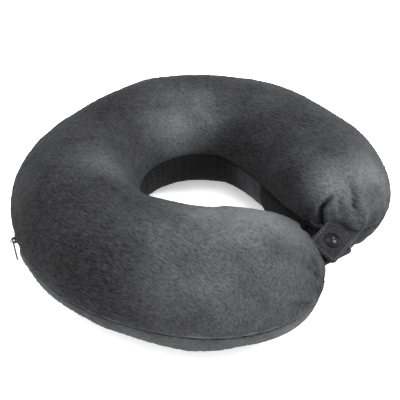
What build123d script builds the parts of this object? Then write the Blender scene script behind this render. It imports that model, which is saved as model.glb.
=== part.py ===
from build123d import *
import math
import os

# U-shaped travel neck pillow: a foam core in a plush cover of two panels, closed by a coil zipper
# round the back and by two sewn tabs with a snap between the arm ends.
# All sizes are in millimetres. Z points up from the surface the pillow rests on. The origin is the
# centre of the neck hole at that surface, and the pillow opens towards -Y.

# ---- Pillow body -------------------------------------------------------------------------------
# One row for each station round the ring: angle from the back, distance of the tube's centre line
# from the origin, width of the tube, and height of its crown above the resting surface.
STATIONS = [
    (0, 105.0, 107.0, 85.5),
    (35, 105.0, 107.0, 94.0),
    (70, 105.0, 107.0, 91.5),
    (105, 102.0, 111.0, 92.0),
    (140, 106.5, 110.0, 90.5),
    (190, 91.5, 97.5, 82.5),
]
OUTER_SEAM_RADIUS = 158.5  # the outer seam is a true arc as far as the zipper goes
SEAM_HEIGHT = 45.0  # the two panels meet here, where the tube is widest
BELOW_SEAM = 47.5  # depth of the free section under the seam; the surface flattens what passes z = 0
ARM_END_ANGLE = 172.0
END_CAP_ANGLE = 29.0  # the arm rounds off over this last part of its sweep
END_CAP_POWER = 2.1  # over 2 makes the arm end blunter than a half ellipse
END_CAP_HEIGHT_POWER = 0.58  # under 1 keeps the arm end tall almost to its tip
BODY_SECTIONS = 13  # each side of the back, up to the end cap
END_CAP_DEPTHS = (0.75, 0.5, 0.3, 0.16, 0.07, 0.02)  # end cap sections, as parts of its depth
SECTION_POINTS = 28
DIRECTION_STEP = 0.05  # degrees either side, for the centre line's direction
OUTER_TOP_POWER = 1.8  # 2 is an ellipse, and more is squarer
INNER_TOP_POWER = 2.2
OUTER_BOTTOM_POWER = 1.9
INNER_BOTTOM_POWER = 2.7

PANEL_THICKNESS = 2.5
FOAM_GAP = 0.5  # slack between the cover and the foam
CUTTER_SIZE = 400.0  # larger than the pillow each way

# ---- Zipper, let into the outer seam at the back -----------------------------------------------
TAPE_HALF_ANGLE = 64.0
SLOT_HALF_ANGLE = 62.8
COIL_HALF_ANGLE = 61.2
SLOT_HALF_HEIGHT = 5.5
TAPE_INNER_RADIUS = OUTER_SEAM_RADIUS - 6.5
TAPE_THICKNESS = 0.8
TAPE_HEIGHT = 8.5
ROW_GAP = 1.0  # between the two halves of the zipper, for the slider's post
COIL_HEIGHT = 2.4
COIL_THICKNESS = 2.0
COIL_ROUNDING = 0.7
POCKET_RADIUS = TAPE_INNER_RADIUS - 2.4  # the foam is cut back to here behind the tapes
POCKET_HALF_HEIGHT = 10.5
POCKET_HALF_ANGLE = 65.5
STOP_GAP_ANGLE = 0.2  # from the end of the coils to the stops
STOP_ANGLE = 0.9  # how far the stops reach along the tapes
STOP_PROUD = 0.3  # the stops stand this far out past the coils

SLIDER_PARK_ANGLE = -59.0
SLIDER_LENGTH = 11.0
SLIDER_HEIGHT = 9.0
SLIDER_CORNER = 2.6
SLIDER_PLATE = 1.2
SLIDER_GAP = 0.35  # between the slider and what runs through it
POST_THICKNESS = 0.4
POST_LENGTH = 4.0
BRIDGE_LENGTH = 6.4
BRIDGE_HEIGHT = 4.7  # tall enough for the pull to swing in towards the cover
BRIDGE_BAR = 1.2
BRIDGE_WIDTH = 1.6

PULL_EYE_RADIUS = 1.7
PULL_WIRE_RADIUS = 0.45
PULL_LENGTH = 20.0
PULL_WIDTH = 4.6
PULL_THICKNESS = 1.2
PULL_CORNER = 1.6
PULL_SLOT_DROP = 0.25  # the slot sits this share of the tongue's length below its middle
PULL_SLOT_LENGTH = 6.0
PULL_SLOT_WIDTH = 1.8
POCKET_DEPTH = 20.0  # past the foam's surface

# ---- Tabs and snap between the arm ends --------------------------------------------------------
SNAP_CENTRE = (3.0, -121.0, 45.0)
TAB_ROLL = 25.0  # the tabs lean down, away from the neck
TAB_PITCH = -6.0  # and dip slightly towards the -X arm
TAB_WIDTH = 25.0
TAB_THICKNESS = 3.0
TAB_FREE_LENGTH = 16.0  # past the snap
TAB_ROOT_LENGTH = 40.0  # towards its own arm, before the arm's shape trims it
TAB_CORNER = 4.0
TAB_TRIM = 2.2  # the tabs start this far off the arm, so that they can fold
LOWER_TAB_SHIFT = -4.0  # the lower tab lies this far out from under the upper one
SNAP_SPACE = 3.0  # between the two tabs, filled by the socket and the stud
STITCH_LENGTH = 2.4
STITCH_PITCH = 3.4
STITCH_WIDTH = 0.7
STITCH_HEIGHT = 0.4
STITCH_INSET = 2.0

SNAP_PIN_RADIUS = 1.5
PIN_HOLE_GAP = 0.05
CAP_RADIUS = 6.3
CAP_RIM = 0.7
CAP_DOME = 2.5
CAP_FULLNESS = 0.75  # the share of its rise that the cap has gained halfway in from its rim
CAP_DIMPLE_RADIUS = 1.6
CAP_DIMPLE_DEPTH = 0.25
SOCKET_RADIUS = 5.7
SOCKET_HEIGHT = 2.2
SOCKET_CAVITY_RADIUS = 2.6
SOCKET_ROOF = 0.6
STUD_FLANGE_RADIUS = 5.2
STUD_FLANGE = 0.45
STUD_BALL_RADIUS = 2.2
STUD_HEIGHT = 2.0
POST_CAP_HEIGHT = 1.2
POST_CAP_ROUNDING = 0.6
POST_CAP_RADIUS = 6.0


def at_angle(radius, angle, height):
    """A point at an angle from the back of the ring, positive towards +X."""
    turn = math.radians(angle)
    return Vector(radius * math.sin(turn), radius * math.cos(turn), height)


def station_value(column, angle):
    """One column of STATIONS at any angle, eased from one station to the next."""
    angle = abs(angle)
    for low, high in zip(STATIONS, STATIONS[1:]):
        if angle <= high[0]:
            t = (angle - low[0]) / (high[0] - low[0])
            eased = t * t * (3 - 2 * t)
            return low[column] + (high[column] - low[column]) * eased
    return STATIONS[-1][column]


def outward(angle):
    """The level direction square to the centre line, pointing away from the neck."""
    before_angle = angle - DIRECTION_STEP
    after_angle = angle + DIRECTION_STEP
    before = at_angle(station_value(1, before_angle), before_angle, 0)
    after = at_angle(station_value(1, after_angle), after_angle, 0)
    along = (after - before).normalized()
    return Vector(-along.Y, along.X, 0)


def section(angle, depth, inset):
    """A closed section of the tube. depth runs from 0 at the arm's tip to 1 where the arm is full."""
    fullness = (1 - (1 - depth) ** END_CAP_POWER) ** (1 / END_CAP_POWER)
    half_width = station_value(2, angle) / 2 * fullness - inset
    tallness = fullness**END_CAP_HEIGHT_POWER
    above = (station_value(3, angle) - SEAM_HEIGHT) * tallness - inset
    below = BELOW_SEAM * tallness - inset
    centre = at_angle(station_value(1, angle), angle, SEAM_HEIGHT)
    points = []
    for i in range(SECTION_POINTS):
        turn = 2 * math.pi * i / SECTION_POINTS
        across = math.cos(turn)
        up = math.sin(turn)
        if up >= 0:
            height = above
            power = OUTER_TOP_POWER if across > 0 else INNER_TOP_POWER
        else:
            height = below
            power = OUTER_BOTTOM_POWER if across > 0 else INNER_BOTTOM_POWER
        side = math.copysign(abs(across) ** (2 / power), across) * half_width
        rise = math.copysign(abs(up) ** (2 / power), up) * height
        points.append(centre + outward(angle) * side + Vector(0, 0, rise))
    return Wire([Edge.make_spline(points, periodic=True)])


def pillow_solid(inset, floor):
    """The whole ring from arm end to arm end, inset all round and cut level at the floor height."""
    full_angle = ARM_END_ANGLE - END_CAP_ANGLE
    inset_angle = math.degrees(inset / station_value(1, ARM_END_ANGLE))
    half = [(full_angle * i / BODY_SECTIONS, 1.0) for i in range(BODY_SECTIONS + 1)]
    for depth in END_CAP_DEPTHS:
        half.append((ARM_END_ANGLE - END_CAP_ANGLE * depth - inset_angle, depth))
    stations = [(-angle, depth) for angle, depth in reversed(half[1:])] + half
    solid = Solid.make_loft([section(angle, depth, inset) for angle, depth in stations])
    return solid - half_space(floor, -1)


def half_space(height, side):
    """Everything above (side 1) or below (side -1) a level plane, as far as the pillow reaches."""
    return Pos(0, 0, height + side * CUTTER_SIZE / 2) * Box(2 * CUTTER_SIZE, 2 * CUTTER_SIZE, CUTTER_SIZE)


def ring_band(radius, thickness, low, height, start_angle, end_angle, rounding=0):
    """A band round the ring between two angles from the back. It starts at the inner radius."""
    outline = RectangleRounded(thickness, height, rounding) if rounding else Rectangle(thickness, height)
    profile = Plane.XZ * Pos(radius + thickness / 2, low + height / 2) * outline
    band = revolve(profile, Axis.Z, revolution_arc=end_angle - start_angle)
    return Rot(0, 0, 90 - end_angle) * band


def panels():
    """The cover's two halves, with the slot for the zipper left open between them."""
    cover = pillow_solid(0, 0) - pillow_solid(PANEL_THICKNESS, PANEL_THICKNESS)
    slot_radius = TAPE_INNER_RADIUS + TAPE_THICKNESS + COIL_THICKNESS
    slot_depth = 2 * PANEL_THICKNESS + FOAM_GAP
    slot_low = SEAM_HEIGHT - SLOT_HALF_HEIGHT
    cover -= ring_band(slot_radius, slot_depth, slot_low, 2 * SLOT_HALF_HEIGHT, -SLOT_HALF_ANGLE, SLOT_HALF_ANGLE)
    top_panel = cover - half_space(SEAM_HEIGHT, -1)
    bottom_panel = cover - half_space(SEAM_HEIGHT, 1)
    return top_panel, bottom_panel


def foam_core():
    """One piece of foam that fills the cover, cut back behind the zipper."""
    inset = PANEL_THICKNESS + FOAM_GAP
    pocket_low = SEAM_HEIGHT - POCKET_HALF_HEIGHT
    pocket_height = 2 * POCKET_HALF_HEIGHT
    pocket = ring_band(POCKET_RADIUS, POCKET_DEPTH, pocket_low, pocket_height, -POCKET_HALF_ANGLE, POCKET_HALF_ANGLE)
    return pillow_solid(inset, inset) - pocket


def both_sides(radius, thickness, height, start_angle, end_angle, rounding=0):
    """The same band above and below the zipper's middle line."""
    upper_low = SEAM_HEIGHT + ROW_GAP / 2
    lower_low = SEAM_HEIGHT - ROW_GAP / 2 - height
    upper = ring_band(radius, thickness, upper_low, height, start_angle, end_angle, rounding)
    lower = ring_band(radius, thickness, lower_low, height, start_angle, end_angle, rounding)
    return upper, lower


def zipper_tapes():
    return both_sides(TAPE_INNER_RADIUS, TAPE_THICKNESS, TAPE_HEIGHT, -TAPE_HALF_ANGLE, TAPE_HALF_ANGLE)


def zipper_coils():
    radius = TAPE_INNER_RADIUS + TAPE_THICKNESS
    return both_sides(radius, COIL_THICKNESS, COIL_HEIGHT, -COIL_HALF_ANGLE, COIL_HALF_ANGLE, COIL_ROUNDING)


def zipper_stops():
    """Two clips beyond the closed end of the coils, and one across both coils at the other end."""
    radius = TAPE_INNER_RADIUS + TAPE_THICKNESS
    thickness = COIL_THICKNESS + STOP_PROUD
    near = COIL_HALF_ANGLE + STOP_GAP_ANGLE
    far = near + STOP_ANGLE
    top_stops = Compound(list(both_sides(radius, thickness, COIL_HEIGHT, -far, -near)))
    height = ROW_GAP + 2 * COIL_HEIGHT
    bottom_stop = ring_band(radius, thickness, SEAM_HEIGHT - height / 2, height, near, far)
    return top_stops, bottom_stop


def on_track(shape):
    """Move a shape made at the back of the ring, where outward is +Y, to the slider's parked place."""
    return Rot(0, 0, -SLIDER_PARK_ANGLE) * Pos(0, 0, SEAM_HEIGHT) * shape


def radial_plate(outline, radius, thickness):
    """A flat outline, drawn along the track and up, made solid from a radius outwards."""
    return extrude(Plane.XZ.offset(-radius) * outline, -thickness)


def slider_face():
    """The radius of the slider's front face."""
    return TAPE_INNER_RADIUS + TAPE_THICKNESS + COIL_THICKNESS + SLIDER_GAP + SLIDER_PLATE


def bridge_bar_radius():
    """The radius of the middle of the bridge's bar, which the pull hangs from."""
    return slider_face() + BRIDGE_HEIGHT - BRIDGE_BAR / 2


def zipper_slider():
    """Two plates joined by a thin post that runs between the coils, with a bridge for the pull."""
    outline = RectangleRounded(SLIDER_LENGTH, SLIDER_HEIGHT, SLIDER_CORNER)
    front_radius = slider_face() - SLIDER_PLATE
    back_radius = TAPE_INNER_RADIUS - SLIDER_GAP - SLIDER_PLATE
    front = radial_plate(outline, front_radius, SLIDER_PLATE)
    back = radial_plate(outline, back_radius, SLIDER_PLATE)
    post = radial_plate(Rectangle(POST_LENGTH, POST_THICKNESS), back_radius, front_radius - back_radius + SLIDER_PLATE)
    slider = front + back + post
    flange_low = ROW_GAP / 2 + COIL_HEIGHT + SLIDER_GAP
    flange_height = SLIDER_HEIGHT / 2 - flange_low
    flange_radius = TAPE_INNER_RADIUS + TAPE_THICKNESS + SLIDER_GAP
    straight = SLIDER_LENGTH - 2 * SLIDER_CORNER
    for side in (-1, 1):
        flange = Pos(0, side * (flange_low + flange_height / 2)) * Rectangle(straight, flange_height)
        slider += radial_plate(flange, flange_radius, front_radius - flange_radius + SLIDER_PLATE)
    arch = radial_plate(Rectangle(BRIDGE_LENGTH, BRIDGE_WIDTH), slider_face(), BRIDGE_HEIGHT)
    arch_gap = radial_plate(
        Rectangle(BRIDGE_LENGTH - 2 * BRIDGE_BAR, BRIDGE_WIDTH), slider_face(), BRIDGE_HEIGHT - BRIDGE_BAR
    )
    return on_track(slider + (arch - arch_gap))


def zipper_pull():
    """A round eye on the bridge's bar with a flat tongue that hangs straight down from it."""
    eye = Rot(0, 90, 0) * Torus(PULL_EYE_RADIUS, PULL_WIRE_RADIUS)
    tongue_top = -PULL_EYE_RADIUS
    tongue_height = PULL_LENGTH - PULL_EYE_RADIUS
    outline = RectangleRounded(PULL_WIDTH, tongue_height, PULL_CORNER)
    slot = Pos(0, -tongue_height * PULL_SLOT_DROP) * SlotOverall(PULL_SLOT_LENGTH, PULL_SLOT_WIDTH, rotation=90)
    outline = Pos(0, tongue_top - tongue_height / 2) * (outline - slot)
    tongue = radial_plate(outline, -PULL_THICKNESS / 2, PULL_THICKNESS)
    return on_track(Pos(0, bridge_bar_radius(), 0) * (eye + tongue))


def tab_place():
    """The snap's place. Its own Z runs through the snap, and its own X along the tabs."""
    return Location(SNAP_CENTRE, (TAB_ROLL, TAB_PITCH, 0))


def tab_and_stitches(side, shift, arms):
    """A tab, trimmed clear of its arm, with a row of stitches round its edge.

    side is 1 for the upper tab, rooted in the +X arm, and -1 for the lower tab, rooted in the -X arm.
    """
    low = SNAP_SPACE / 2 if side > 0 else -SNAP_SPACE / 2 - TAB_THICKNESS
    length = TAB_FREE_LENGTH + TAB_ROOT_LENGTH
    middle = side * (TAB_ROOT_LENGTH - TAB_FREE_LENGTH) / 2
    plate = Pos(middle, shift, low) * extrude(RectangleRounded(length, TAB_WIDTH, TAB_CORNER), TAB_THICKNESS)
    plate -= upright(SNAP_PIN_RADIUS + PIN_HOLE_GAP, low, low + TAB_THICKNESS)
    tab = (tab_place() * plate - arms).solids().sort_by(SortBy.VOLUME)[-1]

    top = low + TAB_THICKNESS
    edge = TAB_WIDTH / 2 - STITCH_INSET
    end = -side * (TAB_FREE_LENGTH - STITCH_INSET)
    spots = []
    for i in range(int(length / STITCH_PITCH)):
        along = end + side * (STITCH_PITCH * i + STITCH_PITCH / 2)
        spots += [(along, shift + edge, 0), (along, shift - edge, 0)]
    across_count = int(2 * edge / STITCH_PITCH)
    for i in range(across_count):
        spots.append((end, shift + STITCH_PITCH * (i - (across_count - 1) / 2), 90))
    stitches = []
    for x, y, turn in spots:
        reach = side * (STITCH_LENGTH + STITCH_PITCH)
        clear_of_root = all(
            tab.is_inside((tab_place() * Pos(x + dx, y, low + TAB_THICKNESS / 2)).position) for dx in (0, reach)
        )
        if clear_of_root:
            stitch = Box(STITCH_LENGTH, STITCH_WIDTH, STITCH_HEIGHT)
            stitches.append(tab_place() * Pos(x, y, top + STITCH_HEIGHT / 2) * Rot(0, 0, turn) * stitch)
    return tab, Compound(stitches)


def dome(radius, rim, rise):
    """A shallow round cap with a dimple in its crown. It stands on z = 0."""
    halfway = (radius / 2, rim + (rise - rim) * CAP_FULLNESS)
    profile = make_face(
        Line((0, 0), (radius, 0))
        + Line((radius, 0), (radius, rim))
        + ThreePointArc((radius, rim), halfway, (0, rise))
        + Line((0, rise), (0, 0))
    )
    cap = revolve(Plane.XZ * profile, Axis.Z)
    ball_radius = (CAP_DIMPLE_RADIUS**2 + CAP_DIMPLE_DEPTH**2) / (2 * CAP_DIMPLE_DEPTH)
    return cap - Pos(0, 0, rise - CAP_DIMPLE_DEPTH + ball_radius) * Sphere(ball_radius)


def upright(radius, low, high):
    """A round pin on the snap's own axis between two heights."""
    return Pos(0, 0, (low + high) / 2) * Cylinder(radius, high - low)


def snap():
    """The snap's four pieces: the cap and socket on the upper tab, the stud and post on the lower tab."""
    tab_top = SNAP_SPACE / 2 + TAB_THICKNESS
    tab_underside = SNAP_SPACE / 2
    socket_low = tab_underside - SOCKET_HEIGHT
    cap = Pos(0, 0, tab_top) * dome(CAP_RADIUS, CAP_RIM, CAP_DOME)
    cap += upright(SNAP_PIN_RADIUS, tab_underside - SOCKET_ROOF, tab_top)
    socket = upright(SOCKET_RADIUS, socket_low, tab_underside)
    socket -= upright(SOCKET_CAVITY_RADIUS, socket_low, tab_underside - SOCKET_ROOF)
    socket -= upright(SNAP_PIN_RADIUS + PIN_HOLE_GAP, socket_low, tab_underside)

    stud_low = -SNAP_SPACE / 2
    stud = upright(STUD_FLANGE_RADIUS, stud_low, stud_low + STUD_FLANGE)
    stud += upright(STUD_BALL_RADIUS, stud_low, stud_low + STUD_HEIGHT)
    stud -= upright(SNAP_PIN_RADIUS + PIN_HOLE_GAP, stud_low, stud_low + STUD_FLANGE)
    post_low = stud_low - TAB_THICKNESS
    post = upright(POST_CAP_RADIUS, post_low - POST_CAP_HEIGHT, post_low)
    post = fillet(post.edges().sort_by(Axis.Z)[0], POST_CAP_ROUNDING)
    post += upright(SNAP_PIN_RADIUS, post_low, stud_low + STUD_FLANGE)
    return [tab_place() * piece for piece in (cap, socket, stud, post)]


def main():
    os.makedirs("parts", exist_ok=True)
    top_panel, bottom_panel = panels()
    tape_upper, tape_lower = zipper_tapes()
    coil_upper, coil_lower = zipper_coils()
    top_stops, bottom_stop = zipper_stops()
    arms = pillow_solid(-TAB_TRIM, 0)
    upper_tab, upper_stitching = tab_and_stitches(1, 0, arms)
    lower_tab, lower_stitching = tab_and_stitches(-1, LOWER_TAB_SHIFT, arms)
    snap_cap, snap_socket, snap_stud, snap_post = snap()
    nodes = {
        "foam_core": foam_core(),
        "top_panel": top_panel,
        "bottom_panel": bottom_panel,
        "zipper_tape_upper": tape_upper,
        "zipper_tape_lower": tape_lower,
        "zipper_coil_upper": coil_upper,
        "zipper_coil_lower": coil_lower,
        "zipper_top_stops": top_stops,
        "zipper_bottom_stop": bottom_stop,
        "zipper_slider": zipper_slider(),
        "zipper_pull": zipper_pull(),
        "upper_tab": upper_tab,
        "upper_tab_stitching": upper_stitching,
        "snap_cap": snap_cap,
        "snap_socket": snap_socket,
        "lower_tab": lower_tab,
        "lower_tab_stitching": lower_stitching,
        "snap_stud": snap_stud,
        "snap_post": snap_post,
    }
    for name, shape in nodes.items():
        shape.label = name
        export_step(shape, f"parts/{name}.step")


main()
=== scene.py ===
import bmesh
import bpy
import math
import numpy as np
from mathutils import Matrix, Vector, noise


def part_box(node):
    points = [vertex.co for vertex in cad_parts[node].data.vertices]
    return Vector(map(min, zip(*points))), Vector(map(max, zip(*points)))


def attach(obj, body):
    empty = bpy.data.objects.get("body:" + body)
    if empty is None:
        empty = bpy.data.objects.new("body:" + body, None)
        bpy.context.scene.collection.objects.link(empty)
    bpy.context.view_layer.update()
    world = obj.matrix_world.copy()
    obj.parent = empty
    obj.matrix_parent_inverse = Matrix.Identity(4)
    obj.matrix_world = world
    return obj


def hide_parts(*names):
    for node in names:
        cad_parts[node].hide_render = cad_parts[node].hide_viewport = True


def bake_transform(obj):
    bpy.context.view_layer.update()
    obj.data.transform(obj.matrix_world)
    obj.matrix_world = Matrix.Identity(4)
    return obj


# The plush cover, tabs, zipper coils and materials of a U-shaped neck pillow, built round the packed
# CAD frame. Shapes are worked out in millimetres and turned into metres when their mesh is made.
# Angles are in degrees, measured round the pillow from the middle of its back.

MM = 0.001

# ---- Pillow form: the same stations as the CAD model -------------------------------------------
# angle from the back, centre line's distance from the origin, tube width, crown height
STATIONS = np.array([
    (0, 105.0, 107.0, 85.5),
    (35, 105.0, 107.0, 94.0),
    (70, 105.0, 107.0, 91.5),
    (105, 102.0, 111.0, 92.0),
    (136, 106.5, 110.5, 90.5),
    (202, 88.0, 94.5, 80.5),
])
BELOW_SEAM = 47.5
ARM_END_ANGLE = 172.0
END_CAP_ANGLE = 29.0
END_CAP_POWER = 2.1
END_CAP_HEIGHT_POWER = 0.58
OUTER_TOP_POWER = 1.8
INNER_TOP_POWER = 2.2
OUTER_BOTTOM_POWER = 1.9
INNER_BOTTOM_POWER = 2.7
CROWN_BLEND = 0.9  # the power passes from the outer to the inner one over this part of the section
LEAST_HALF = 0.05  # no section is thinner than this to each side
DIRECTION_STEP = 0.05  # degrees, to find which way the centre line runs

# ---- Cover: mesh and seams ---------------------------------------------------------------------
COLUMNS = 470  # along the ring
ROWS = 108  # across each panel
END_CAP_COLUMNS = 0.13  # each end cap's share of its arm's columns
TIP_DEPTH = 0.000001  # the last column's share of the end cap, which closes the arm's tip
CLOTH_THICKNESS = 1.4
WELD = 0.001  # points closer than this become one
SEAM_DROP = math.radians(6.0)  # the outer seam lies this much lower round the arms
SEAM_DROP_FROM = 66.0
SEAM_DROP_OVER = 25.0
SEAM_DROP_TIP = 0.5  # it comes back up over this share of the end cap
SEAM_GROOVE = 1.1
SEAM_GROOVE_WIDTH = 2.6
LIP_STEPS = ((0.25, 0.7), (0.35, 1.8), (0.4, 3.2))  # the turned-in edge: (towards the panel, inwards)
LIP_TIP = 8.0  # how fast the turned-in edge reaches its full depth from an arm's tip
ZIP_LIP_STEPS = ((0.1, 0.7), (0.5, 2.4), (0.9, 4.6))
ZIP_EDGE = 5.1  # the panel's edge stands this far from the zipper's middle line
ZIP_FULL_ANGLE = 61.2
ZIP_END_ANGLE = 64.0
ZIP_EASE = 16.0  # the fabric is pushed aside over this height
ZIP_KEEP = 20.0  # the fabric this near the inner seam stays, and it eases off over as much again

# ---- Cover: lumps, puckers and gathers ---------------------------------------------------------
LUMP_SIZE = 46.0
LUMP_DEPTH = 1.3
LUMP_SEED = 1
DENT_SIZE = 17.0
DENT_DEPTH = 0.35
DENT_SEED = 2
LUMP_FADE = 14.0  # lumps and dents die out this near a seam
PUCKER = 0.45
PUCKER_REACH = 7.0
PUCKER_LENGTH = 8.5
PUCKER_SEED = 3
GATHER_DEPTH = 1.1  # wrinkles of the lower panel round the neck hole
GATHER_PITCH = 11.0
GATHER_PLACE = 16.0  # from the inner seam
GATHER_WIDTH = 20.0
GATHER_SEED = 7
TIP_FADE = 0.25  # puckers and gathers die out over this share of the end cap
PILE_ROUGHNESS = 0.16
PILE_SEED = 5
NOISE_SHIFT = (17.3, 5.1, 9.7)  # one seed's noise lies this far from the next one's

# Folds drawn towards the sewn roots of the tabs and gathered at the arm ends. Each is a line through
# points just on the cover, with its depth and half width. A depth below 0 is a bulge.
FOLDS = [
    ([(27, -108, 80), (24, -109, 73), (15, -104, 63), (13, -107, 49)], 4.8, 1.9),
    ([(44, -112, 83), (40, -117, 77), (32, -125, 66), (28, -131, 51)], 3.6, 1.9),
    ([(57, -122, 77), (56, -129, 70), (55, -138, 57), (56, -141, 48)], 2.4, 1.7),
    ([(72, -134, 62), (68, -138, 55), (66, -140, 48)], 1.8, 1.4),
    ([(35, -100, 86), (27, -112, 76), (22, -118, 62)], 1.8, 1.8),
    ([(44, -128, 66), (34, -131, 58), (27, -131, 51)], -4.5, 5.5),
    ([(15, -108, 51), (20, -118, 48), (27, -131, 45)], 2.6, 3.4),
    ([(20, -119, 38), (27, -116, 24), (34, -112, 12)], 2.2, 2.4),
    ([(27, -131, 40), (36, -131, 24), (44, -124, 10)], 1.8, 2.4),
    ([(-27, -108, 80), (-22, -109, 72), (-15, -105, 62), (-13, -107, 49)], 2.6, 2.2),
    ([(-61, -116, 82), (-55, -126, 74), (-48, -136, 60), (-44, -138, 48)], 2.4, 1.4),
    ([(-47, -122, 76), (-44, -129, 69), (-42, -137, 52)], 2.2, 1.3),
    ([(-36, -118, 76), (-33, -127, 64), (-29, -131, 50)], 2.2, 1.4),
    ([(-84, -131, 62), (-76, -136, 55), (-66, -139, 50)], 2.2, 1.5),
    ([(-62, -132, 66), (-56, -138, 56), (-52, -140, 48)], 2.2, 1.4),
    ([(-16, -110, 48), (-20, -118, 45), (-28, -131, 41)], 2.6, 3.4),
    ([(-20, -119, 36), (-27, -116, 22), (-34, -112, 12)], 2.2, 2.4),
    ([(-30, -132, 38), (-38, -131, 24), (-46, -124, 10)], 1.8, 2.4),
    ([(-136, 82, 52), (-135, 81, 40), (-134, 80.5, 32), (-130, 78, 20)], 3.6, 6.0),  # under the pull
    ([(-110, 78, 84), (-118, 68, 81), (-122, 56, 80)], 0.8, 3.4),
    ([(-24, 74, 88), (-31, 70, 86), (-38, 63, 84)], 0.7, 3.4),
]
FOLD_TAPER = 0.7  # a fold deepens over this share of its line
RIDGE_HEIGHT = 0.35  # the ridges beside a fold, as a share of its depth
RIDGE_PLACE = 2.3  # and how many half widths away they lie

# ---- Cover: tone of the pile, with painted light and shade -------------------------------------
NAP_TOP = 0.19  # how light the pile looks, from 0 to 1, away from the spots of painted light and shade below
NAP_LEAST = 0.02
# painted light: the bottom panel's outside is given a lighter tone than the top panel's
BOTTOM_PAINTED_LIGHT_TONE = 0.55
FAR_ARM_PAINTED_SHADE_TONE = 0.2  # painted shade: the bottom panel's outside turns darker on the +X arm's end
FAR_ARM_FROM = 110.0
FAR_ARM_OVER = 40.0
HOLE_PAINTED_SHADE_TONE = 0.03  # painted shade: the bottom panel's dark wall round the neck hole
# how much more painted shade lies over that wall
HOLE_SHADE = 0.85
ARM_HOLE_PAINTED_LIGHT_TONE = 0.55  # painted light: the same wall, lighter further along the arms
ARM_HOLE_FROM = 85.0
ARM_HOLE_OVER = 30.0
ARM_HOLE_END = 158.0
ARM_HOLE_FADE = 25.0
OUTSIDE_FROM = 50.0  # the hole's wall ends this far from the inner seam
OUTSIDE_OVER = 45.0
SEAM_PAINTED_HIGHLIGHT = 1.2  # a painted highlight along the outer seam, where the pile stands up
SEAM_HIGHLIGHT_PLACE = 2.4
SEAM_HIGHLIGHT_WIDTH = 1.1
# painted shade along both seams: its width and how dark it is
SEAM_LINE = 1.0
SEAM_SHADE = 0.85
FOLD_DARK = 3.2  # painted shade in a fold grows with its depth and is full at this depth
PAINTED_LIGHT_SPOTS = [  # spots of painted light (above 0) and painted shade (below 0) in the pile's tone: middle, reach and change of tone
    ((-60, -77, 90), 36, 0.75),
    ((-42, -98, 86), 24, 0.18),
    ((-121, -90, 69), 38, 0.30),
    ((-104, -52, 88), 32, 0.22),
    ((-76, -125, 67), 26, 0.14),
    ((42, 46, 78), 26, 0.80),
    ((18, 56, 78), 22, 0.18),
    ((-58, 45, 86), 24, 0.30),
    ((49, -122, 75), 26, 0.62),
    ((27, -104, 77), 18, 0.45),
    ((75, -120, 60), 22, 0.2),
    ((-146, -23, 69), 30, -0.12),
    ((-128, 55, 75), 50, -0.10),
    ((60, -5, 70), 26, -0.08),
    ((0, 120, 80), 50, -0.07),
]

# ---- Foam --------------------------------------------------------------------------------------
FOAM_COLUMNS = 160
FOAM_ROWS = 72
FOAM_TIP_DEPTH = 0.01
FOAM_INSET = 7.0
FOAM_END_ANGLE = 4.0  # the foam stops this far short of each arm's tip
FOAM_ZIP_DEPTH = 6.0  # the foam is hollowed this much behind the zipper
FOAM_ZIP_REACH = 10.0
FOAM_ZIP_EASE = 3.0
FOAM_OUTER_SIDE = 0.5  # where the cosine of the turn round the section is above this

# ---- Tabs --------------------------------------------------------------------------------------
SNAP_CENTRE = (3.0, -121.0, 45.0)
TAB_ROLL = 25.0
TAB_PITCH = -6.0
TAB_WIDTH = 25.0
TAB_THICKNESS = 3.0
TAB_FREE_LENGTH = 16.0
UPPER_ROOT_LENGTH = 30.0
LOWER_ROOT_LENGTH = 36.0
SNAP_SPACE = 3.0
LOWER_TAB_SHIFT = -4.0
LOWER_TAB_TWIST = -19.0  # the snap lets the lower tab lie askew under the upper one
LOWER_TAB_SETTLE = 3.0  # and a little nearer to the upper tab's middle line than when it is straight
TAB_COLUMNS = 46
TAB_ROWS = 30
TAB_CORNER = 4.0
TAB_EDGE = 1.5
TAB_WELD = 0.02
CHANNEL_DEPTH = 0.28  # the stitches' furrow
CHANNEL_PLACE = 2.2
CHANNEL_WIDTH = 0.7
PRESS_DEPTH = 0.15  # the ring that the snap presses in
PRESS_RADIUS = 6.8
PRESS_WIDTH = 1.8
PUFF = 0.15
PUFF_SIZE = 7.0
PUFF_LAYER = 3.0  # each tab takes its puffs from its own part of the noise
NAP_TAB = 0.14
TAB_EDGE_PAINTED_HIGHLIGHT = 0.4  # painted highlight along the tabs' folded edges
TAB_EDGE_HIGHLIGHT_WIDTH = 0.9

# ---- Zipper coils ------------------------------------------------------------------------------
COIL_HALF_ANGLE = math.radians(61.1)
COIL_PITCH = 1.45
COIL_WIRE = 0.33
COIL_POINTS = 9  # per turn
COIL_RADIUS = 153.8  # of the arc that the coils lie along
COIL_DEPTH = 0.68  # half the coil's size across the cover
COIL_HEIGHT = 1.45  # and along its height
COIL_OFFSET = 1.15  # each row's middle, from the zipper's middle line

# ---- Metal trim --------------------------------------------------------------------------------
TRIM_BEVEL = 0.12

# ---- Look of the pile --------------------------------------------------------------------------
# Layers of its mottle: stretch along X, Y and Z, how fine, and detail
LYING = ((1.0, 0.22, 1.0), 1000.0, 3.0)
HANGING = ((1.0, 1.0, 0.22), 1000.0, 3.0)
COARSE = ((1.0, 0.45, 0.8), 260.0, 3.0)
PATCHES = ((1.0, 0.8, 1.0), 30.0, 4.0)
FLECKS = ((1.0, 0.35, 0.7), 900.0, 4.0)
EVEN = (1, 1, 1)
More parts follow.
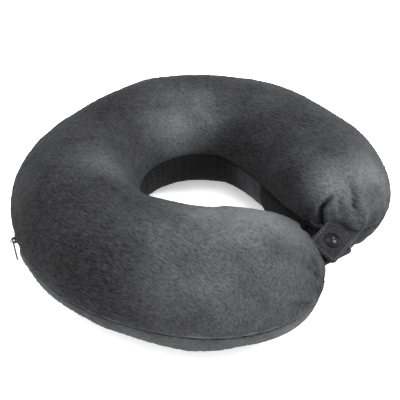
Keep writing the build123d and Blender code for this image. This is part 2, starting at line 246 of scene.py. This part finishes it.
# The part of each layer that is spread over 0 to 1
STREAK_RANGE = (0.36, 0.64)
COARSE_RANGE = (0.32, 0.68)
PATCH_RANGE = (0.34, 0.66)
FLECK_RANGE = (0.33, 0.5)
ENDWAYS_RANGE = (0.5, 0.8)  # the pile hangs where a face looks along Y this much, and lies elsewhere
# How each layer changes the tone: slope and start
STREAK_TONE = (0.2, -0.13)
COARSE_TONE = (0.08, 0.0)
PATCH_TONE = (0.7, 0.65)
FLECK_TONE = (0.36, 0.68)
# the painted shade of folds, seams and the neck hole
PAINTED_SHADE_TONE = (-0.9, 1.0)
# And its share of the pile's height
STREAK_HEIGHT = 0.6
COARSE_HEIGHT = 0.4
FLECK_HEIGHT = 0.6
PILE_DEPTH = 0.0008
PILE_SHINE = 0.1
PILE_MATT = 0.85
SHEEN_MATT = 0.3
SHEEN_TINT = (0.8, 0.83, 0.88, 1)

# ---- Camera and light --------------------------------------------------------------------------
CAMERA_AZIMUTH = math.radians(-53.7)
CAMERA_ELEVATION = math.radians(38.6)
CAMERA_ROLL = math.radians(-0.7)
CAMERA_DISTANCE = 0.588
CAMERA_LENS = 62.05
SENSOR_WIDTH = 36.0
CLIP_START = 0.01
AIM_SHIFT = -0.0005
AIM_DROP = 0.0084  # the view is framed this far below the pillow's middle
AIM_LEFT = 0.0008
LIGHTS = (  # name, place, diameter and watts
    ("key", (0.45, -0.8, 0.9), 0.5, 24.0),
    ("top", (-0.1, -0.1, 1.3), 0.8, 8.0),
)
LIGHT_AIM = Vector((0, 0, 0.04))
SKY_STRENGTH = 1.9
FLOOR_REACH = 3.0
FLOOR_DROP = 0.0002


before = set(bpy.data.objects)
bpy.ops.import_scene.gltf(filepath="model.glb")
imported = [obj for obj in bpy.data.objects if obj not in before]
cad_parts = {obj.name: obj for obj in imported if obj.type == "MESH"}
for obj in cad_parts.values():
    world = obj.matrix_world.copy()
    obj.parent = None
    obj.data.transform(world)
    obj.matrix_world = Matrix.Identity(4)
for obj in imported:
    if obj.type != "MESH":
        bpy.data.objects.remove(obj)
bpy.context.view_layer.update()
SEAM_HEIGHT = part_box("top_panel")[0][2] / MM


# ---- Small helpers -----------------------------------------------------------------------------
def ease(t):
    """0 below 0 and 1 above 1, with a soft start and end between them."""
    t = np.clip(t, 0.0, 1.0)
    return t * t * (3 - 2 * t)


def between(low, high, share):
    return low + (high - low) * share


def bell(distance, middle, width):
    """1 at the middle, fading to both sides."""
    return np.exp(-(((distance - middle) / width) ** 2))


def rounded(distance, radius):
    """The share of the full height this far in from a rounded edge."""
    return math.sqrt(max(0.0, 1 - max(0.0, 1 - distance / radius) ** 2))


def fractal(points, size, seed, octaves=2):
    """Smooth noise from about -1 to 1 at each point, with features of the given size."""
    shift = Vector([seed * step for step in NOISE_SHIFT])
    flat = points.reshape(-1, 3)
    values = [noise.fractal(Vector(p) / size + shift, 1.0, 2.0, octaves) for p in flat]
    return np.array(values).reshape(points.shape[:-1])


def link(obj):
    bpy.context.scene.collection.objects.link(obj)
    return obj


# ---- Pillow form -------------------------------------------------------------------------------
def station_value(column, angle):
    angle = np.abs(angle)
    result = np.full_like(angle, STATIONS[-1][column])
    for low, high in reversed(list(zip(STATIONS, STATIONS[1:]))):
        share = ease((angle - low[0]) / (high[0] - low[0]))
        result = np.where(angle <= high[0], between(low[column], high[column], share), result)
    return result


def at_angle(radius, angle, height):
    turn = np.radians(angle)
    return np.stack([radius * np.sin(turn), radius * np.cos(turn), height + 0 * radius], -1)


def centre_line(angle, height=0):
    return at_angle(station_value(1, angle), angle, height)


def outward(angle):
    """The level direction from the centre line to the outside of the ring."""
    along = centre_line(angle + DIRECTION_STEP) - centre_line(angle - DIRECTION_STEP)
    along /= np.linalg.norm(along, axis=-1, keepdims=True)
    return np.stack([-along[..., 1], along[..., 0], 0 * along[..., 0]], -1)


def tube_point(angle, depth, turn, inset=0.0):
    """Points of the tube at arrays of angle, end cap depth (1 where full) and turn round the section."""
    fullness = (1 - (1 - depth) ** END_CAP_POWER) ** (1 / END_CAP_POWER)
    half_width = np.maximum(station_value(2, angle) / 2 * fullness - inset, LEAST_HALF)
    tallness = fullness**END_CAP_HEIGHT_POWER
    above = np.maximum((station_value(3, angle) - SEAM_HEIGHT) * tallness - inset, LEAST_HALF)
    below = np.maximum(BELOW_SEAM * tallness - inset, LEAST_HALF)
    across = np.cos(turn)
    up = np.sin(turn)
    # The power passes smoothly from the outer to the inner one over the crown, so no crease shows.
    inner_share = ease(0.5 - across / CROWN_BLEND)
    top_power = between(OUTER_TOP_POWER, INNER_TOP_POWER, inner_share)
    bottom_power = between(OUTER_BOTTOM_POWER, INNER_BOTTOM_POWER, inner_share)
    power = np.where(up >= 0, top_power, bottom_power)
    height = np.where(up >= 0, above, below)
    side = np.sign(across) * np.abs(across) ** (2 / power) * half_width
    rise = np.sign(up) * np.abs(up) ** (2 / power) * height
    point = centre_line(angle, SEAM_HEIGHT) + outward(angle) * side[..., None]
    point[..., 2] += rise
    return point


def columns(count, tip_depth):
    """Angle and end cap depth for each column from one arm's tip to the other, closer at the tips."""
    share = np.linspace(-1, 1, count)
    size = np.abs(share)
    in_cap = size > 1 - END_CAP_COLUMNS
    depth = np.where(in_cap, ((1 - size) / END_CAP_COLUMNS) ** 2, 1.0)
    depth = np.maximum(depth, tip_depth)
    body = size / (1 - END_CAP_COLUMNS) * (ARM_END_ANGLE - END_CAP_ANGLE)
    cap = ARM_END_ANGLE - END_CAP_ANGLE * depth
    return np.where(in_cap, cap, body) * np.sign(share), depth


# ---- Meshes ------------------------------------------------------------------------------------
def grid_faces(row_count, column_count):
    index = np.arange(row_count * column_count).reshape(row_count, column_count)
    return np.stack([index[:-1, :-1], index[:-1, 1:], index[1:, 1:], index[1:, :-1]], -1).reshape(-1, 4)


def grid_normals(grid):
    along = np.gradient(grid, axis=1)
    across = np.gradient(grid, axis=0)
    normal = np.cross(across, along)
    return normal / np.maximum(np.linalg.norm(normal, axis=-1, keepdims=True), 1e-9)


def mesh_object(name, points, faces):
    mesh = bpy.data.meshes.new(name)
    mesh.from_pydata((points.reshape(-1, 3) * MM).tolist(), [], [tuple(f) for f in faces])
    mesh.validate()
    mesh.polygons.foreach_set("use_smooth", [True] * len(mesh.polygons))
    return link(bpy.data.objects.new(name, mesh))


def paint(obj, name, values):
    layer = obj.data.attributes.new(name, "FLOAT", "POINT")
    layer.data.foreach_set("value", np.asarray(values, dtype=np.float32).ravel())


def weld(obj, distance, close_rims=False):
    """Join points that lie together, close open rims if asked, and turn the faces outwards."""
    work = bmesh.new()
    work.from_mesh(obj.data)
    bmesh.ops.remove_doubles(work, verts=work.verts, dist=distance * MM)
    if close_rims:
        bmesh.ops.edgeloop_fill(work, edges=[e for e in work.edges if e.is_boundary])
    bmesh.ops.recalc_face_normals(work, faces=work.faces)
    work.to_mesh(obj.data)
    work.free()


# ---- Cover panels ------------------------------------------------------------------------------
def zipper_share(angle):
    """1 along the zipper, easing to 0 past its ends."""
    return ease((ZIP_END_ANGLE - np.abs(angle)) / (ZIP_END_ANGLE - ZIP_FULL_ANGLE))


def panel_grid(side):
    """Angle, end cap depth and place of each point, in rows from the outer to the inner seam."""
    angle, depth = columns(COLUMNS, TIP_DEPTH)
    angles, shares = np.meshgrid(angle, np.linspace(0, 1, ROWS))
    depths = np.broadcast_to(depth, angles.shape)
    lowered = ease((np.abs(angles) - SEAM_DROP_FROM) / SEAM_DROP_OVER) * ease(depths / SEAM_DROP_TIP)
    seam_turn = -SEAM_DROP * lowered
    turns = between(seam_turn, side * math.pi, shares)
    return angles, depths, tube_point(angles, depths, turns)


def seam_distances(grid):
    """How far each point lies, along the panel, from the outer and the inner seam."""
    reach = np.linalg.norm(np.diff(grid, axis=0), axis=-1)
    from_outer = np.concatenate([np.zeros((1, COLUMNS)), np.cumsum(reach, axis=0)])
    return from_outer, from_outer[-1] - from_outer


def fold_offset(grid):
    """How far the folds push each point of a grid in (below 0) or out."""
    offset = np.zeros(grid.shape[:-1])
    for line, depth, width in FOLDS:
        nearest = np.full(grid.shape[:-1], np.inf)
        taper = np.zeros(grid.shape[:-1])
        line = np.array(line, dtype=float)
        for i, (start, end) in enumerate(zip(line, line[1:])):
            span = end - start
            share = np.clip(((grid - start) @ span) / (span @ span), 0, 1)
            away = np.linalg.norm(grid - start - share[..., None] * span, axis=-1)
            taper = np.where(away < nearest, (i + share) / (len(line) - 1), taper)
            nearest = np.minimum(nearest, away)
        strength = depth * ease(taper / FOLD_TAPER)
        offset -= strength * bell(nearest, 0, width)
        offset += RIDGE_HEIGHT * strength * bell(nearest, RIDGE_PLACE * width, width)
    return offset


def top_tone_with_painted_light(points):
    """The top panel's tone at each point, with its spots of painted light and shade."""
    tone = np.full(points.shape[:-1], NAP_TOP)
    for middle, reach, change in PAINTED_LIGHT_SPOTS:
        away = np.linalg.norm(points - middle, axis=-1)
        tone += change * bell(away, 0, reach)
    return np.clip(tone, NAP_LEAST, 1.0)


def pile_tone(side, grid, angles, from_outer, from_inner, puckers, folds):
    """How light the pile looks at each point, with painted light and shade in it, and how much painted
    shade lies there from folds, seams and the neck hole.
    """
    from_seam = np.minimum(from_outer, from_inner)
    # painted shade in folds and dents, by their depth
    shade = np.clip(-folds / FOLD_DARK, 0, 1)
    # painted shade along both seams
    shade = np.maximum(shade, SEAM_SHADE * bell(from_seam, 0, SEAM_LINE))
    if side > 0:
        # a painted highlight beside the outer seam, following the puckers
        edge = SEAM_PAINTED_HIGHLIGHT * bell(from_seam, SEAM_HIGHLIGHT_PLACE, SEAM_HIGHLIGHT_WIDTH) * puckers
        return top_tone_with_painted_light(grid) + edge * (from_outer < from_inner), shade
    size = np.abs(angles)
    arm = ease((size - ARM_HOLE_FROM) / ARM_HOLE_OVER) * ease((ARM_HOLE_END - size) / ARM_HOLE_FADE)
    outside = ease((from_inner - OUTSIDE_FROM) / OUTSIDE_OVER)
    # painted shade on the neck hole's wall, and painted light on it further along the arms
    hole = between(HOLE_PAINTED_SHADE_TONE, ARM_HOLE_PAINTED_LIGHT_TONE, arm)
    # the bottom panel's outside painted lighter, and darker towards the +X arm's end
    bottom = between(BOTTOM_PAINTED_LIGHT_TONE, FAR_ARM_PAINTED_SHADE_TONE, ease((angles - FAR_ARM_FROM) / FAR_ARM_OVER))
    # more painted shade over the hole's wall
    shade = np.maximum(shade, HOLE_SHADE * (1 - outside) * (1 - arm))
    return between(hole, bottom, outside), shade


def relief(side, grid, depths, from_inner, from_seam, run, puckers):
    """How far lumps, seam groove, puckers and gathers push each point in (below 0) or out."""
    fade = ease(from_seam / LUMP_FADE)
    tip_fade = ease(depths / TIP_FADE)
    offset = LUMP_DEPTH * fractal(grid, LUMP_SIZE, LUMP_SEED) * fade
    offset += DENT_DEPTH * fractal(grid, DENT_SIZE, DENT_SEED) * fade
    offset += PILE_ROUGHNESS * np.random.default_rng(PILE_SEED + side).normal(size=depths.shape)
    offset -= SEAM_GROOVE * bell(from_seam, 0, SEAM_GROOVE_WIDTH)
    offset -= PUCKER * puckers * np.exp(-from_seam / PUCKER_REACH) * tip_fade
    if side < 0:
        wrinkle = fractal(run, GATHER_PITCH, GATHER_SEED)
        offset += GATHER_DEPTH * wrinkle * bell(from_inner, GATHER_PLACE, GATHER_WIDTH) * tip_fade
    return offset


def drawn_aside(grid, angles, from_inner, side):
    """The grid with its outer edge drawn aside for the zipper round the back."""
    beside = zipper_share(angles) * ease((from_inner - ZIP_KEEP) / ZIP_KEEP)
    away = (grid[..., 2] - SEAM_HEIGHT) * side
    eased = np.where(away < ZIP_EASE, ZIP_EDGE + away * (ZIP_EASE - ZIP_EDGE) / ZIP_EASE, away)
    height = SEAM_HEIGHT + side * between(away, eased, beside)
    grid[..., 2] = np.maximum(height, 0.0)
    return grid


def turned_in(grid, angle, depth, side):
    """The grid with more rows at both ends, where its edges turn in at the seams."""
    inward = -outward(angle)
    beside = zipper_share(angle)[:, None]
    from_tip = np.minimum(1, depth * LIP_TIP)[:, None]
    outer_lip = []
    inner_lip = []
    for (rise, sink), (zip_rise, zip_sink) in zip(LIP_STEPS, ZIP_LIP_STEPS):
        outer_rise = between(rise, zip_rise, beside)
        outer_sink = between(sink, zip_sink, beside) * from_tip
        outer_lip.append(grid[0] + inward * outer_sink + outer_rise * (0, 0, side))
        inner_lip.append(grid[-1] - inward * sink * from_tip + (0, 0, side * rise))
    return np.concatenate([np.array(outer_lip[::-1]), grid, np.array(inner_lip)])


def panel(name, side):
    """The top (side 1) or bottom (side -1) half of the cover, with its turned-in edges."""
    angles, depths, grid = panel_grid(side)
    from_outer, from_inner = seam_distances(grid)
    from_seam = np.minimum(from_outer, from_inner)
    normal = grid_normals(grid)
    normal *= side * np.sign(normal[ROWS // 2, COLUMNS // 2, 2])  # outwards
    run = centre_line(angles)
    puckers = np.abs(fractal(run, PUCKER_LENGTH, PUCKER_SEED + side, 1))
    folds = fold_offset(grid)
    tone_with_painted_light, shade = pile_tone(side, grid, angles, from_outer, from_inner, puckers, folds)
    offset = folds + relief(side, grid, depths, from_inner, from_seam, run, puckers)
    grid = drawn_aside(grid + normal * offset[..., None], angles, from_inner, side)
    grid = turned_in(grid, angles[0], depths[0], side)

    obj = mesh_object(name, grid, grid_faces(*grid.shape[:2]))
    lips = ((len(LIP_STEPS), len(LIP_STEPS)), (0, 0))
    # paint the pile's tone, with its painted light and shade, and the painted shade of folds, seams and
    # the neck hole
    paint(obj, "tone_with_painted_light", np.pad(tone_with_painted_light, lips, mode="edge"))
    paint(obj, "fold", np.pad(shade, lips, mode="edge"))
    weld(obj, WELD)
    thick = obj.modifiers.new("thickness", "SOLIDIFY")
    thick.thickness = CLOTH_THICKNESS * MM
    thick.offset = -1
    return obj


def foam():
    """The foam core, inside the cover."""
    angle, depth = columns(FOAM_COLUMNS, FOAM_TIP_DEPTH)
    angle = angle * (ARM_END_ANGLE - FOAM_END_ANGLE) / ARM_END_ANGLE
    turn = np.linspace(0, 2 * math.pi, FOAM_ROWS, endpoint=False)
    angles, turns = np.meshgrid(angle, turn)
    depths = np.broadcast_to(depth, angles.shape)
    grid = tube_point(angles, depths, turns, FOAM_INSET)
    grid[..., 2] = np.maximum(grid[..., 2], FOAM_INSET)
    near_zipper = ease((FOAM_ZIP_REACH - np.abs(grid[..., 2] - SEAM_HEIGHT)) / FOAM_ZIP_EASE)
    hollow = zipper_share(angles) * near_zipper * (np.cos(turns) > FOAM_OUTER_SIDE)
    grid -= outward(angles) * (hollow * FOAM_ZIP_DEPTH)[..., None]
    count = FOAM_ROWS * FOAM_COLUMNS
    faces = [tuple(f % count) for f in grid_faces(FOAM_ROWS + 1, FOAM_COLUMNS)]
    ends = [tuple(range(first, count, FOAM_COLUMNS)) for first in (0, FOAM_COLUMNS - 1)]
    obj = mesh_object("foam_insert", grid, faces + ends)
    weld(obj, WELD)
    return obj


# ---- Tabs --------------------------------------------------------------------------------------
TAB_PLACE = (
    Matrix.Translation(Vector(SNAP_CENTRE))
    @ Matrix.Rotation(math.radians(TAB_ROLL), 4, "X")
    @ Matrix.Rotation(math.radians(TAB_PITCH), 4, "Y")
)


def tab_point(x, y, z):
    return np.array(TAB_PLACE @ Vector((x, y, z)))


def tab_surface(x, swing, face, side):
    """Across and up from the tab's middle, and the tone, at one point of its upper or lower face."""
    free = abs(x + side * TAB_FREE_LENGTH)
    half = TAB_WIDTH / 2 - TAB_CORNER * (1 - rounded(free, TAB_CORNER))
    y = -half * math.cos(swing)
    edge = half - abs(y)
    body = TAB_THICKNESS / 2 * min(rounded(edge, TAB_EDGE), rounded(free, TAB_EDGE))
    channel = bell(edge, CHANNEL_PLACE, CHANNEL_WIDTH) + bell(free, CHANNEL_PLACE, CHANNEL_WIDTH)
    press = bell(math.hypot(x, y), PRESS_RADIUS, PRESS_WIDTH)
    puff = noise.noise(Vector((x / PUFF_SIZE, y / PUFF_SIZE, PUFF_LAYER * side + face)))
    rise = body * (1 + PUFF * puff) - CHANNEL_DEPTH * channel - PRESS_DEPTH * press
    # painted highlight along the folded edges
    tone_with_painted_light = between(NAP_TAB, TAB_EDGE_PAINTED_HIGHLIGHT, bell(min(edge, free), 0, TAB_EDGE_HIGHLIGHT_WIDTH))
    return y, face * max(0.0, rise), tone_with_painted_light


def tab(name, side, shift, root_length, twist=0.0):
    """A folded plush strap. side is 1 for the upper tab and -1 for the lower one."""
    middle = side * (SNAP_SPACE + TAB_THICKNESS) / 2
    spin = Matrix.Rotation(math.radians(twist), 3, "Z")
    points = []
    tone_with_painted_light = []
    for face in (1, -1):
        for x in np.linspace(-TAB_FREE_LENGTH, root_length, TAB_COLUMNS) * side:
            for swing in np.linspace(0, math.pi, TAB_ROWS):
                y, z, tone = tab_surface(x, swing, face, side)
                points.append(tab_point(*(spin @ Vector((x, y + shift, middle + z)))))
                tone_with_painted_light.append(tone)
    top = grid_faces(TAB_COLUMNS, TAB_ROWS)
    underside = top[:, ::-1] + TAB_COLUMNS * TAB_ROWS
    obj = mesh_object(name, np.array(points), np.concatenate([top, underside]))
    paint(obj, "tone_with_painted_light", tone_with_painted_light)
    paint(obj, "fold", np.zeros(len(tone_with_painted_light)))
    weld(obj, TAB_WELD, close_rims=True)
    return obj


def turned_stitches():
    """A copy of the lower tab's stitches that lies askew with the tab."""
    cad_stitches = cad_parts["lower_tab_stitching"]
    stitches = link(bpy.data.objects.new("lower_tab_stitches", cad_stitches.data.copy()))
    settle = Matrix.Translation((0, LOWER_TAB_SETTLE, 0))
    twist = Matrix.Rotation(math.radians(LOWER_TAB_TWIST), 4, "Z")
    move = TAB_PLACE @ twist @ settle @ TAB_PLACE.inverted()
    move.translation *= MM
    stitches.data.transform(move @ cad_stitches.matrix_world)
    return stitches


# ---- Zipper coils ------------------------------------------------------------------------------
def coil(name, side):
    """One half of the zipper: a nylon wire coiled along the tape's edge."""
    turns = int(2 * COIL_HALF_ANGLE * COIL_RADIUS / COIL_PITCH)
    half_turn_on = 0.5 if side < 0 else 0.0
    curve = bpy.data.curves.new(name, "CURVE")
    curve.dimensions = "3D"
    curve.bevel_depth = COIL_WIRE * MM
    curve.bevel_resolution = 1
    spline = curve.splines.new("POLY")
    count = turns * COIL_POINTS
    spline.points.add(count - 1)
    for i in range(count):
        phase = i / COIL_POINTS
        along = min((phase + half_turn_on) / turns, 1.0)
        angle = COIL_HALF_ANGLE * (1 - 2 * along)
        swing = 2 * math.pi * phase
        reach = COIL_RADIUS - COIL_DEPTH * math.cos(swing)
        height = SEAM_HEIGHT + side * (COIL_OFFSET - COIL_HEIGHT * math.sin(swing))
        spline.points[i].co = (reach * math.sin(angle) * MM, reach * math.cos(angle) * MM, height * MM, 1)
    return link(bpy.data.objects.new(name, curve))


# ---- Materials ---------------------------------------------------------------------------------
class Nodes:
    """A short way to build one material's nodes."""

    def __init__(self, name):
        self.material = bpy.data.materials.new(name)
        self.material.use_nodes = True
        self.tree = self.material.node_tree
        self.shader = self.tree.nodes["Principled BSDF"]

    def put(self, socket, value):
        """Link another node's output to a socket, or set a constant on the socket itself."""
        if isinstance(value, bpy.types.NodeSocket):
            self.tree.links.new(value, socket)
        else:
            socket.default_value = value

    def feed(self, node, **inputs):
        for key, value in inputs.items():
            self.put(node.inputs[key.replace("_", " ")], value)
        return node

    def add(self, kind, **inputs):
        return self.feed(self.tree.nodes.new(kind), **inputs)

    def shade(self, **inputs):
        self.feed(self.shader, **inputs)

    def math(self, operation, a, b=0.0):
        node = self.tree.nodes.new("ShaderNodeMath")
        node.operation = operation
        for socket, value in zip(node.inputs, (a, b)):
            self.put(socket, value)
        return node.outputs[0]

    def line(self, value, slope, start=0.0):
        """start + slope * value."""
        return self.math("ADD", self.math("MULTIPLY", value, slope), start)

    def grain(self, scale, size, detail):
        """Noise stretched by scale, in the object's own space."""
        place = self.add("ShaderNodeTexCoord").outputs["Object"]
        mapped = self.add("ShaderNodeMapping", Vector=place, Scale=scale).outputs[0]
        return self.add("ShaderNodeTexNoise", Vector=mapped, Scale=size, Detail=detail).outputs["Fac"]

    def ramp(self, value, low, high):
        return self.add("ShaderNodeMapRange", Value=value, From_Min=low, From_Max=high).outputs[0]

    def attribute(self, name):
        node = self.tree.nodes.new("ShaderNodeAttribute")
        node.attribute_name = name
        return node.outputs["Fac"]

    def mix(self, share, a, b):
        node = self.tree.nodes.new("ShaderNodeMix")
        node.data_type = "RGBA"
        for socket, value in zip((node.inputs[0], node.inputs[6], node.inputs[7]), (share, a, b)):
            self.put(socket, value)
        return node.outputs[2]

    def bump(self, height, strength, distance):
        return self.add("ShaderNodeBump", Height=height, Strength=strength, Distance=distance).outputs[0]


def plush(name, dark, light, sheen):
    """Short velour pile. Its tone follows a painted attribute holding painted light and shade, mottled by
    streaks and brushed patches, and darkened by the painted shade of folds, seams and the neck hole.
    """
    n = Nodes(name)
    normal = n.add("ShaderNodeNewGeometry").outputs["Normal"]
    facing = n.add("ShaderNodeSeparateXYZ", Vector=normal).outputs["Y"]
    endways = n.ramp(n.math("ABSOLUTE", facing), *ENDWAYS_RANGE)
    lying = n.math("MULTIPLY", n.grain(*LYING), n.line(endways, -1.0, 1.0))
    hanging = n.math("MULTIPLY", n.grain(*HANGING), endways)
    streak = n.ramp(n.math("ADD", lying, hanging), *STREAK_RANGE)
    coarse = n.ramp(n.grain(*COARSE), *COARSE_RANGE)
    patches = n.ramp(n.grain(*PATCHES), *PATCH_RANGE)
    flecks = n.ramp(n.grain(*FLECKS), *FLECK_RANGE)
    mottle = n.math("ADD", n.line(streak, *STREAK_TONE), n.line(coarse, *COARSE_TONE))
    tone_with_painted_light = n.math("MULTIPLY", n.attribute("tone_with_painted_light"), n.line(patches, *PATCH_TONE))
    # the painted shade of folds, seams and the neck hole darkens the tone, which the flecks mottle
    painted_shade_and_flecks = n.math("MULTIPLY", n.line(n.attribute("fold"), *PAINTED_SHADE_TONE), n.line(flecks, *FLECK_TONE))
    tone = n.math("MULTIPLY", n.math("ADD", tone_with_painted_light, mottle), painted_shade_and_flecks)
    tone.node.use_clamp = True
    height = n.math("ADD", n.line(streak, STREAK_HEIGHT), n.line(coarse, COARSE_HEIGHT))
    height = n.math("ADD", height, n.line(flecks, FLECK_HEIGHT))
    n.shade(Base_Color=n.mix(tone, dark, light), Roughness=PILE_MATT, Specular_IOR_Level=PILE_SHINE)
    n.shade(Sheen_Weight=sheen, Sheen_Roughness=SHEEN_MATT, Sheen_Tint=SHEEN_TINT)
    n.shade(Normal=n.bump(height, 1.0, PILE_DEPTH))
    return n.material


def foam_material():
    """Open-celled foam, in a mottled cream."""
    n = Nodes("foam")
    cells = n.grain(EVEN, 1400.0, 2.0)
    colour = n.mix(n.ramp(cells, 0.35, 0.65), (0.62, 0.58, 0.46, 1), (0.82, 0.79, 0.68, 1))
    n.shade(Base_Color=colour, Roughness=0.9, Normal=n.bump(cells, 0.6, 0.0005))
    return n.material


def smooth_material(name, dark, light, roughness, metallic, size, shine=0.25):
    """Enamel, lacquer, nylon or thread: a fine mottle in the colour and in the roughness."""
    n = Nodes(name)
    mottle = n.grain(EVEN, size, 4.0)
    n.shade(Base_Color=n.mix(mottle, dark, light), Roughness=n.line(mottle, 0.12, roughness - 0.06))
    n.shade(Metallic=metallic, Specular_IOR_Level=shine, Normal=n.bump(mottle, 0.08, 0.0002))
    return n.material


def tape_material():
    """Woven polyester tape: fine ribs up its height."""
    n = Nodes("zipper_tape")
    place = n.add("ShaderNodeTexCoord").outputs["Object"]
    wave = n.add("ShaderNodeTexWave", Vector=place, Scale=900.0, Distortion=1.5, Detail=2.0)
    wave.bands_direction = "DIAGONAL"
    ribs = wave.outputs["Fac"]
    colour = n.mix(ribs, (0.018, 0.018, 0.02, 1), (0.05, 0.05, 0.053, 1))
    n.shade(Base_Color=colour, Roughness=0.8, Normal=n.bump(ribs, 0.5, 0.0003))
    return n.material


def grey(level, blue):
    """A linear grey whose blue differs a little."""
    return (level, level, blue, 1)


PILE_SHADE = grey(0.0025, 0.0027)
COVER = plush("plush_cover", PILE_SHADE, (0.074, 0.075, 0.080, 1), 0.02)
TAB_PLUSH = plush("plush_tab", PILE_SHADE, (0.058, 0.059, 0.063, 1), 0.03)
FOAM = foam_material()
TAPE = tape_material()
NYLON = smooth_material("zipper_nylon", grey(0.02, 0.021), grey(0.035, 0.037), 0.45, 0.0, 500.0)
GUNMETAL = smooth_material("gunmetal", grey(0.02, 0.021), grey(0.07, 0.073), 0.35, 0.9, 700.0)
ENAMEL = smooth_material("black_enamel", grey(0.003, 0.003), grey(0.006, 0.0065), 0.2, 0.0, 300.0, 0.08)
LACQUER = smooth_material("black_lacquer", grey(0.010, 0.011), grey(0.03, 0.032), 0.35, 0.6, 500.0)
THREAD = smooth_material("thread", grey(0.012, 0.013), grey(0.035, 0.037), 0.7, 0.0, 3000.0)


# ---- Pieces ------------------------------------------------------------------------------------
def dress(obj, material, node):
    obj.data.materials.clear()
    obj.data.materials.append(material)
    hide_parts(node)


def dress_node(node, material, bevel=0.0):
    """Give a CAD node its material and, where wanted, softened edges."""
    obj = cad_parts[node]
    for place in obj.material_slots:
        place.link = "OBJECT"
        place.material = material
    if bevel:
        edge = obj.modifiers.new("soft_edges", "BEVEL")
        edge.width = bevel * MM
        edge.segments = 2
        edge.limit_method = "ANGLE"


def place_rigid(obj, material, node, body="pillow"):
    dress(obj, material, node)
    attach(obj, body)


def place_tab(obj, node):
    """Give a tab its plush, hide its CAD node and bake its place into its mesh."""
    dress(obj, TAB_PLUSH, node)
    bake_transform(obj)


for side, panel_name in ((1, "top_panel"), (-1, "bottom_panel")):
    cover_panel = panel("plush_" + panel_name, side)
    place_rigid(cover_panel, COVER, panel_name)
foam_insert = foam()
place_rigid(foam_insert, FOAM, "foam_core")

upper = tab("plush_upper_tab", 1, 0.0, UPPER_ROOT_LENGTH)
place_tab(upper, "upper_tab")
lower_shift = LOWER_TAB_SHIFT + LOWER_TAB_SETTLE
lower = tab("plush_lower_tab", -1, lower_shift, LOWER_ROOT_LENGTH, LOWER_TAB_TWIST)
place_tab(lower, "lower_tab")

for side, row in ((1, "upper"), (-1, "lower")):
    place_rigid(coil("coil_" + row, side), NYLON, "zipper_coil_" + row)
    dress_node("zipper_tape_" + row, TAPE)
for node in ("zipper_slider", "zipper_pull", "zipper_top_stops", "zipper_bottom_stop"):
    dress_node(node, GUNMETAL, TRIM_BEVEL)
dress_node("snap_cap", ENAMEL)
dress_node("snap_post", ENAMEL)
dress_node("snap_socket", LACQUER)
dress_node("snap_stud", LACQUER)
dress_node("upper_tab_stitching", THREAD)
place_rigid(turned_stitches(), THREAD, "lower_tab_stitching", "lower_tab")


# ---- Camera, lights and floor ------------------------------------------------------------------
def add_camera():
    back = Vector((
        math.sin(CAMERA_AZIMUTH) * math.cos(CAMERA_ELEVATION),
        -math.cos(CAMERA_AZIMUTH) * math.cos(CAMERA_ELEVATION),
        math.sin(CAMERA_ELEVATION),
    ))
    turn = back.to_track_quat("Z", "Y").to_matrix()
    right, up = turn.col[0], turn.col[1]
    aim = Vector((AIM_SHIFT, 0.0, SEAM_HEIGHT * MM)) - up * AIM_DROP - right * AIM_LEFT
    roll = Matrix.Rotation(CAMERA_ROLL, 4, "Z")
    data = bpy.data.cameras.new("camera")
    data.lens = CAMERA_LENS
    data.sensor_width = SENSOR_WIDTH
    data.clip_start = CLIP_START
    camera = link(bpy.data.objects.new("camera", data))
    camera.matrix_world = Matrix.Translation(aim + back * CAMERA_DISTANCE) @ turn.to_4x4() @ roll
    bpy.context.scene.camera = camera


def add_light(name, place, size, power):
    data = bpy.data.lights.new(name, "AREA")
    data.shape = "DISK"
    data.size = size
    data.energy = power
    light = link(bpy.data.objects.new(name, data))
    light.location = place
    light.rotation_euler = (Vector(place) - LIGHT_AIM).to_track_quat("Z", "Y").to_euler()


def add_sky():
    """White light from all round."""
    world = bpy.data.worlds.new("studio")
    bpy.context.scene.world = world
    world.use_nodes = True
    background = world.node_tree.nodes["Background"]
    background.inputs["Color"].default_value = (1, 1, 1, 1)
    background.inputs["Strength"].default_value = SKY_STRENGTH


def add_floor():
    """A plain pale floor, with a little light of its own so that shadows on it stay faint."""
    mesh = bpy.data.meshes.new("floor")
    corners = [(x * FLOOR_REACH, y * FLOOR_REACH, 0) for x, y in ((-1, -1), (1, -1), (1, 1), (-1, 1))]
    mesh.from_pydata(corners, [], [(0, 1, 2, 3)])
    floor = link(bpy.data.objects.new("floor", mesh))
    floor.location.z = -FLOOR_DROP
    look = Nodes("pale_floor")
    look.shade(Base_Color=(0.93, 0.93, 0.93, 1), Roughness=0.9)
    look.shade(Emission_Color=(1, 1, 1, 1), Emission_Strength=0.4)
    mesh.materials.append(look.material)
    return floor


add_camera()
for light in LIGHTS:
    add_light(*light)
add_sky()
bpy.context.scene.view_settings.view_transform = "Standard"
add_floor()
